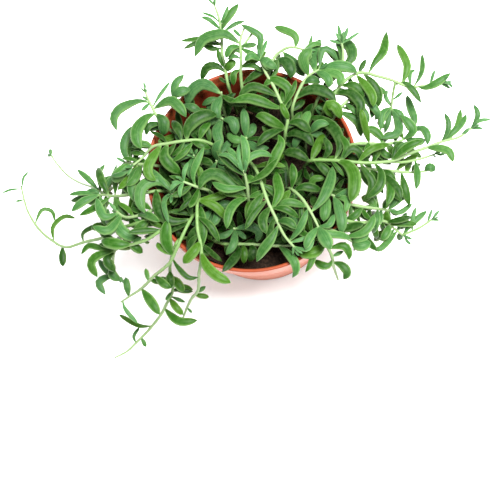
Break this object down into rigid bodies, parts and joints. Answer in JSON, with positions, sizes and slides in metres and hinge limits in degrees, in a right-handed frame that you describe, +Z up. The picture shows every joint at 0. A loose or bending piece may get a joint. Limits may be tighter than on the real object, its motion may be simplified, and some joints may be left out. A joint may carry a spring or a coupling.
{
  "type": "potted string of bananas plant",
  "caption": "Trailing succulent with banana-shaped leaves along thin stems, growing from dark soil in a round terracotta-coloured plastic pot.",
  "frame": {"origin": "centre of the underside of the pot's base, on the surface it stands on", "axes": "+Z up along the pot's axis, +X to the right and +Y away from the viewer of the picture"},
  "size_m": [0.3046, 0.1923, 0.1321],
  "materials": {
    "terracotta_plastic": "satin moulded",
    "potting_soil": "rough, crumbly",
    "succulent_green": "waxy satin"
  },
  "bodies": {
    "root": {"cluster_left": "succulent_green", "cluster_left_back": "succulent_green", "cluster_left_front": "succulent_green", "cluster_left_middle": "succulent_green", "cluster_right": "succulent_green", "cluster_right_front": "succulent_green", "cluster_right_inner": "succulent_green", "pot": "terracotta_plastic", "rosette_left_inner": "succulent_green", "rosette_left_outer": "succulent_green", "rosette_middle": "succulent_green", "runner_left": "succulent_green", "soil": "potting_soil", "spray_back_left": "succulent_green", "spray_back_long": "succulent_green", "spray_back_middle": "succulent_green", "spray_back_right": "succulent_green", "spray_back_short": "succulent_green", "spray_far_right_tip": "succulent_green", "spray_right_long": "succulent_green", "stem_along_front": "succulent_green", "stem_back_right": "succulent_green", "stem_front_diagonal": "succulent_green", "stem_front_right": "succulent_green", "stem_left_inner": "succulent_green", "stem_left_upper": "succulent_green", "stem_right_back_long": "succulent_green", "stem_right_back_short": "succulent_green", "stem_right_inner": "succulent_green", "stem_right_low_back": "succulent_green", "stem_right_thin": "succulent_green", "strand_front_left_long": "succulent_green", "strand_front_left_low": "succulent_green", "strand_front_left_middle": "succulent_green", "strand_front_right": "succulent_green", "tuft_back": "succulent_green", "tuft_back_left": "succulent_green", "tuft_back_right": "succulent_green", "tuft_front": "succulent_green", "tuft_inner_back": "succulent_green", "tuft_inner_front": "succulent_green", "tuft_inner_left": "succulent_green", "tuft_inner_middle": "succulent_green", "tuft_inner_right": "succulent_green"}
  },
  "joints": []
}
